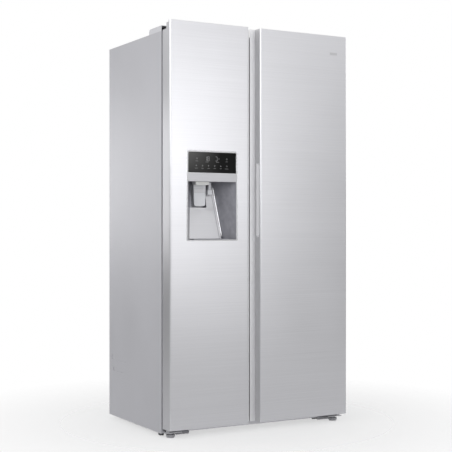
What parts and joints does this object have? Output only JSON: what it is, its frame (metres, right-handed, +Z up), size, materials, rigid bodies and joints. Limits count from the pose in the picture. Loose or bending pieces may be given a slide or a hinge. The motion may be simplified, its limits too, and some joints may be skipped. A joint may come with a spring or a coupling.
{
  "type": "side by side refrigerator",
  "caption": "Side by side refrigerator with a narrow freezer door holding a water and ice dispenser, a wider fridge door, and a recessed grip channel between them.",
  "frame": {"origin": "on the floor under the centre of the whole object, midway between the sides and between the door fronts and the rear cover", "axes": "+Z up, +Y to the back, +X to the right as seen from the front, so the doors face -Y"},
  "size_m": [0.908, 0.647, 1.775],
  "materials": {
    "door_steel": "satin",
    "channel_trim": "satin",
    "cabinet_paint": "satin",
    "frame_paint": "satin",
    "back_steel": "matte",
    "base_steel": "matte",
    "hinge_steel": "satin",
    "cover_plastic": "matte",
    "foam": "matte",
    "liner_plastic": "satin",
    "clear_plastic": "gloss",
    "shelf_glass": "gloss",
    "trim_plastic": "satin",
    "gasket_rubber": "matte",
    "fin_aluminium": "satin",
    "dark_plastic": "matte",
    "compressor_black": "satin",
    "condenser_black": "satin",
    "dispenser_grey": "satin",
    "dispenser_silver": "satin",
    "display_black": "gloss",
    "paddle_grey": "satin",
    "lamp_white": "gloss",
    "zinc": "satin",
    "foot_grey": "matte"
  },
  "bodies": {
    "cabinet": {"side_panel_left": "cabinet_paint", "side_panel_right": "cabinet_paint", "top_panel": "cabinet_paint", "back_panel": "back_steel", "base_pan": "base_steel", "front_frame": "frame_paint", "cabinet_foam": "foam", "freezer_liner": "liner_plastic", "fridge_liner": "liner_plastic", "freezer_duct_cover": "liner_plastic", "evaporator": "fin_aluminium", "freezer_shelves": "clear_plastic", "ice_maker": "dispenser_grey", "ice_bucket": "clear_plastic", "fridge_shelf_glass": "shelf_glass", "fridge_shelf_frames": "trim_plastic", "fridge_duct_cover": "liner_plastic", "lamps": "lamp_white", "top_hinges": "hinge_steel", "hinge_covers": "cover_plastic", "bottom_hinges": "hinge_steel", "compressor": "compressor_black", "condenser": "condenser_black", "drain_pan": "dark_plastic", "machine_cover": "base_steel", "water_inlet": "trim_plastic", "cord_gland": "dark_plastic"},
    "freezer_door": {"freezer_door_skin": "door_steel", "freezer_door_foam": "foam", "freezer_door_liner": "liner_plastic", "freezer_door_caps": "cover_plastic", "freezer_door_grip": "channel_trim", "freezer_gasket": "gasket_rubber", "freezer_bins": "clear_plastic", "dispenser_housing": "dispenser_grey", "dispenser_bezel": "dispenser_silver", "display_panel": "display_black", "ice_chute": "liner_plastic", "drip_grille": "dispenser_grey"},
    "fridge_door": {"fridge_door_skin": "door_steel", "fridge_door_foam": "foam", "fridge_door_liner": "liner_plastic", "fridge_door_caps": "cover_plastic", "fridge_door_grip": "channel_trim", "fridge_gasket": "gasket_rubber", "fridge_bins": "clear_plastic"},
    "paddle": {"paddle": "paddle_grey"},
    "chute_flap": {"chute_flap": "dark_plastic"},
    "dairy_lid": {"dairy_lid": "clear_plastic"},
    "freezer_drawer_lower": {"freezer_drawer_lower": "clear_plastic"},
    "freezer_drawer_upper": {"freezer_drawer_upper": "clear_plastic"},
    "crisper_lower": {"crisper_lower": "clear_plastic"},
    "crisper_upper": {"crisper_upper": "clear_plastic"},
    "evaporator_fan": {"evaporator_fan": "dark_plastic"},
    "condenser_fan": {"condenser_fan": "dark_plastic"},
    "ice_auger": {"ice_auger": "zinc"},
    "foot_left": {"foot_left": "foot_grey"},
    "foot_right": {"foot_right": "foot_grey"},
    "front_rollers": {"front_rollers": "dark_plastic"},
    "rear_rollers": {"rear_rollers": "dark_plastic"}
  },
  "joints": [
    {"name": "freezer_door_hinge", "type": "hinge", "parent": "cabinet", "child": "freezer_door", "pos_m": [-0.438, -0.2735, 0.9], "axis": [0, 0, -1], "range_deg": [0, 120]},
    {"name": "fridge_door_hinge", "type": "hinge", "parent": "cabinet", "child": "fridge_door", "pos_m": [0.438, -0.2735, 0.9], "axis": [0, 0, 1], "range_deg": [0, 120]},
    {"name": "paddle_press", "type": "hinge", "parent": "freezer_door", "child": "paddle", "pos_m": [-0.2716, -0.2435, 1.089], "axis": [1, 0, 0], "range_deg": [0, 12], "stiffness_Nm_per_rad": 0.4},
    {"name": "chute_flap_swing", "type": "hinge", "parent": "freezer_door", "child": "chute_flap", "pos_m": [-0.2806, -0.2835, 1.119], "axis": [-1, 0, 0], "range_deg": [0, 50]},
    {"name": "dairy_lid_lift", "type": "hinge", "parent": "fridge_door", "child": "dairy_lid", "pos_m": [0.204, -0.2415, 1.5463], "axis": [1, 0, 0], "range_deg": [0, 80]},
    {"name": "evaporator_fan_spin", "type": "hinge", "parent": "cabinet", "child": "evaporator_fan", "pos_m": [-0.23337, 0.2205, 0.86], "axis": [0, 1, 0], "continuous": true},
    {"name": "condenser_fan_spin", "type": "hinge", "parent": "cabinet", "child": "condenser_fan", "pos_m": [-0.047, 0.2235, 0.122], "axis": [1, 0, 0], "continuous": true},
    {"name": "ice_auger_turn", "type": "hinge", "parent": "cabinet", "child": "ice_auger", "pos_m": [-0.2806, -0.0235, 1.3365], "axis": [0, 1, 0], "continuous": true},
    {"name": "foot_left_screw", "type": "hinge", "parent": "cabinet", "child": "foot_left", "pos_m": [-0.42, -0.2595, 0.01], "axis": [0, 0, 1], "continuous": true},
    {"name": "foot_right_screw", "type": "hinge", "parent": "cabinet", "child": "foot_right", "pos_m": [0.42, -0.2595, 0.01], "axis": [0, 0, 1], "continuous": true},
    {"name": "front_rollers_roll", "type": "hinge", "parent": "cabinet", "child": "front_rollers", "pos_m": [-0.366, -0.1955, 0.02], "axis": [1, 0, 0], "continuous": true},
    {"name": "rear_rollers_roll", "type": "hinge", "parent": "cabinet", "child": "rear_rollers", "pos_m": [-0.366, 0.2635, 0.02], "axis": [1, 0, 0], "continuous": true},
    {"name": "freezer_drawer_lower_slide", "type": "slide", "parent": "cabinet", "child": "freezer_drawer_lower", "axis": [0, -1, 0], "range_m": [0, 0.15]},
    {"name": "freezer_drawer_upper_slide", "type": "slide", "parent": "cabinet", "child": "freezer_drawer_upper", "axis": [0, -1, 0], "range_m": [0, 0.15]},
    {"name": "crisper_lower_slide", "type": "slide", "parent": "cabinet", "child": "crisper_lower", "axis": [0, -1, 0], "range_m": [0, 0.15]},
    {"name": "crisper_upper_slide", "type": "slide", "parent": "cabinet", "child": "crisper_upper", "axis": [0, -1, 0], "range_m": [0, 0.15]}
  ],
  "couplings": [
    {"joint": "freezer_drawer_lower_slide", "follows": "freezer_door_hinge", "m_per_rad": 0.0716},
    {"joint": "freezer_drawer_upper_slide", "follows": "freezer_door_hinge", "m_per_rad": 0.0716},
    {"joint": "crisper_lower_slide", "follows": "fridge_door_hinge", "m_per_rad": 0.0716},
    {"joint": "crisper_upper_slide", "follows": "fridge_door_hinge", "m_per_rad": 0.0716},
    {"joint": "chute_flap_swing", "follows": "paddle_press", "ratio": 4.16}
  ]
}
